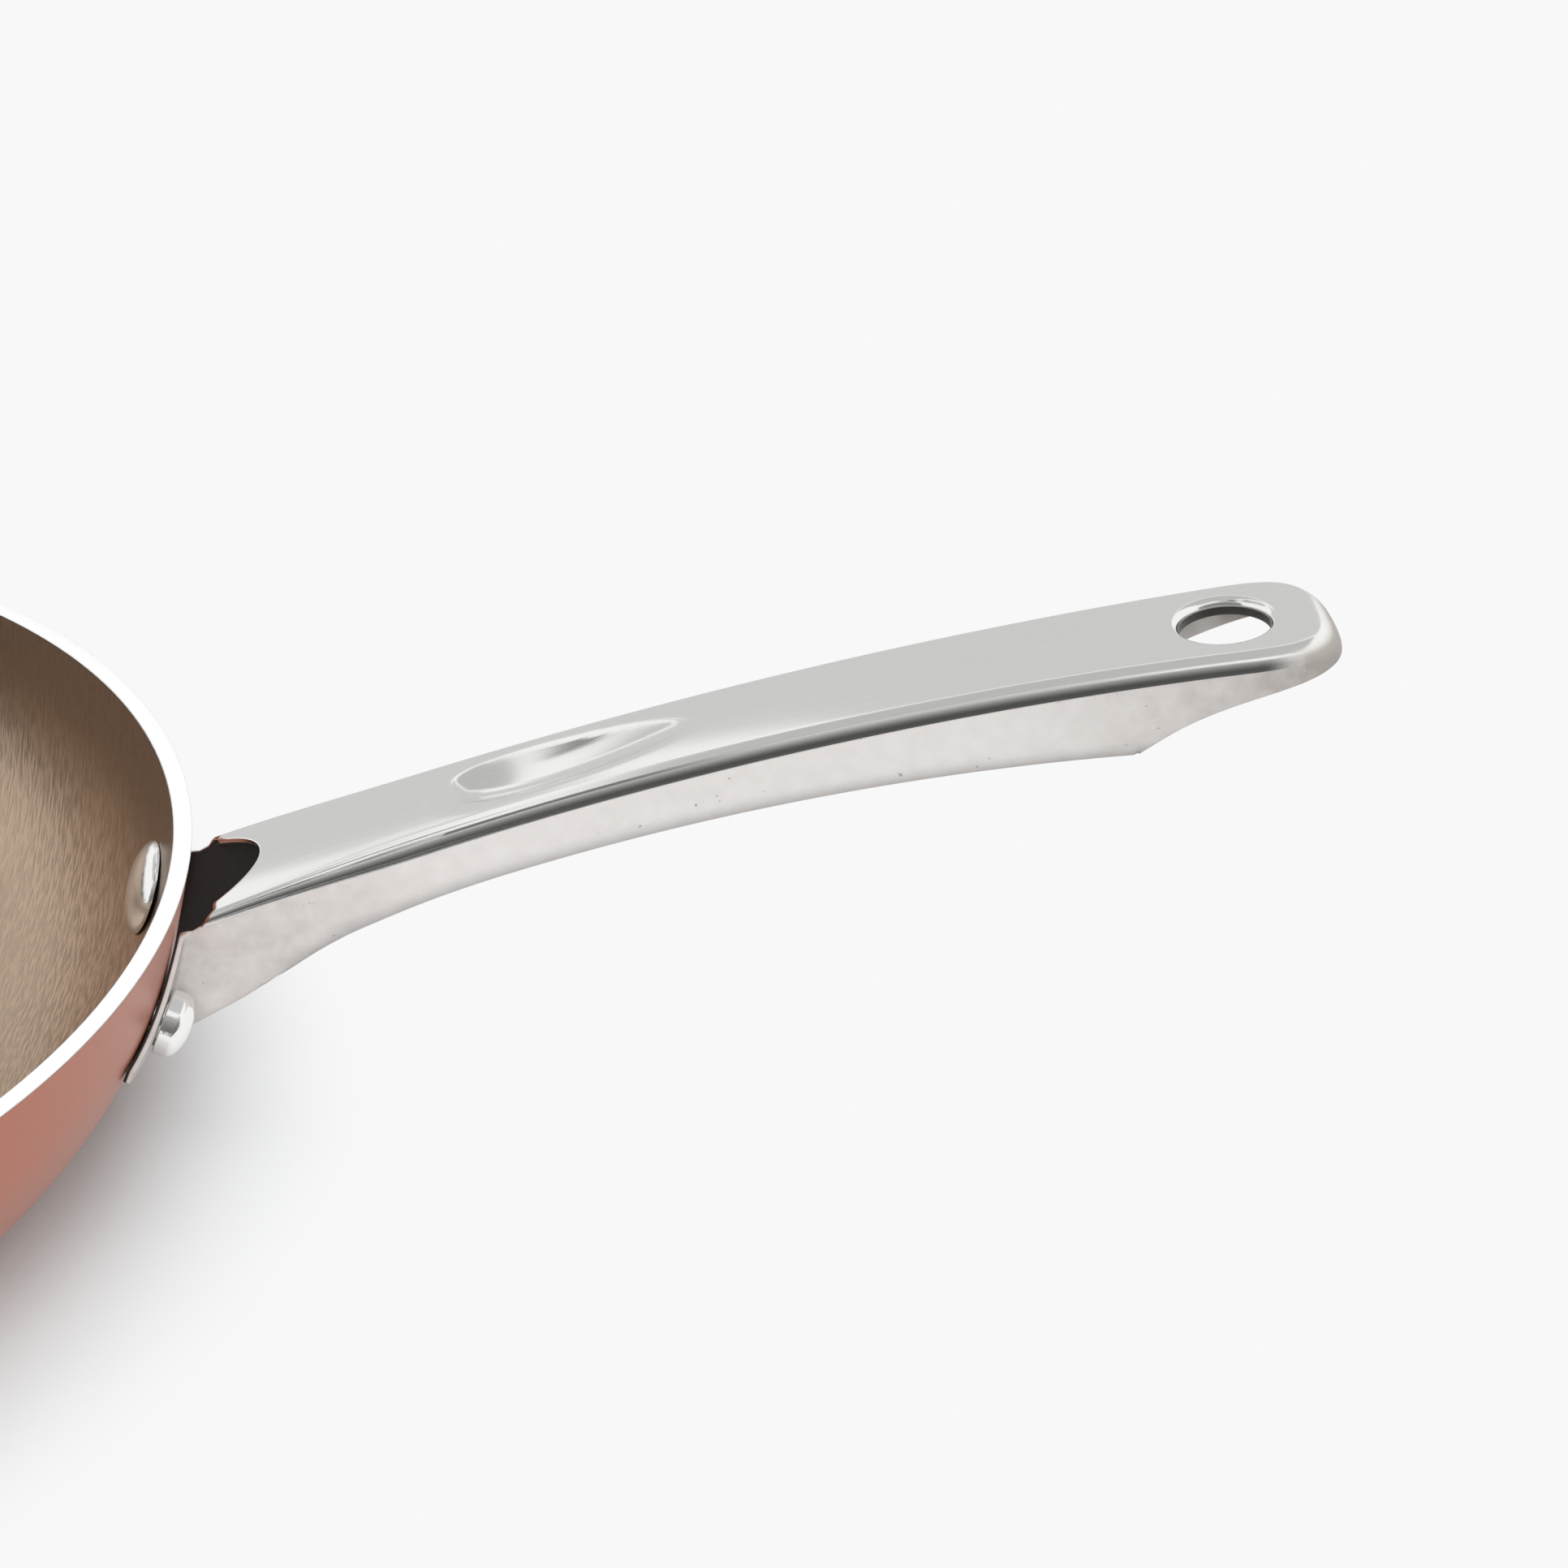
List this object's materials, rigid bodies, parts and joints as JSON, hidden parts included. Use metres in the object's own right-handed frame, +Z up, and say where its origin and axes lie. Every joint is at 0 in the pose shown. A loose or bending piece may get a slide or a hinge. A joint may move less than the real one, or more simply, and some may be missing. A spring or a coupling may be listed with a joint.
{
  "type": "frying pan",
  "caption": "Open round frying pan with a leaning wall and rounded corner, and a riveted stamped channel handle with a thumb dimple and a hanging hole.",
  "frame": {"origin": "centre of the flat base, on the surface that the pan stands on", "axes": "+Z up along the pan's axis, +X from the pan along the handle, +Y to the left seen from the pan looking along the handle"},
  "size_m": [0.4658, 0.28, 0.0848],
  "materials": {
    "bare_aluminium": "turned bright at the rim and the base",
    "nonstick": "satin taupe nonstick with fine concentric ripples",
    "copper_lacquer": "copper-pink metallic lacquer, satin gloss",
    "satin_steel": "stamped stainless, polished top and satin sides",
    "polished_steel": "polished"
  },
  "bodies": {
    "root": {"pan_body": "bare_aluminium", "interior_coating": "nonstick", "exterior_lacquer": "copper_lacquer", "handle": "satin_steel", "rivet_left": "polished_steel", "rivet_right": "polished_steel"}
  },
  "joints": []
}
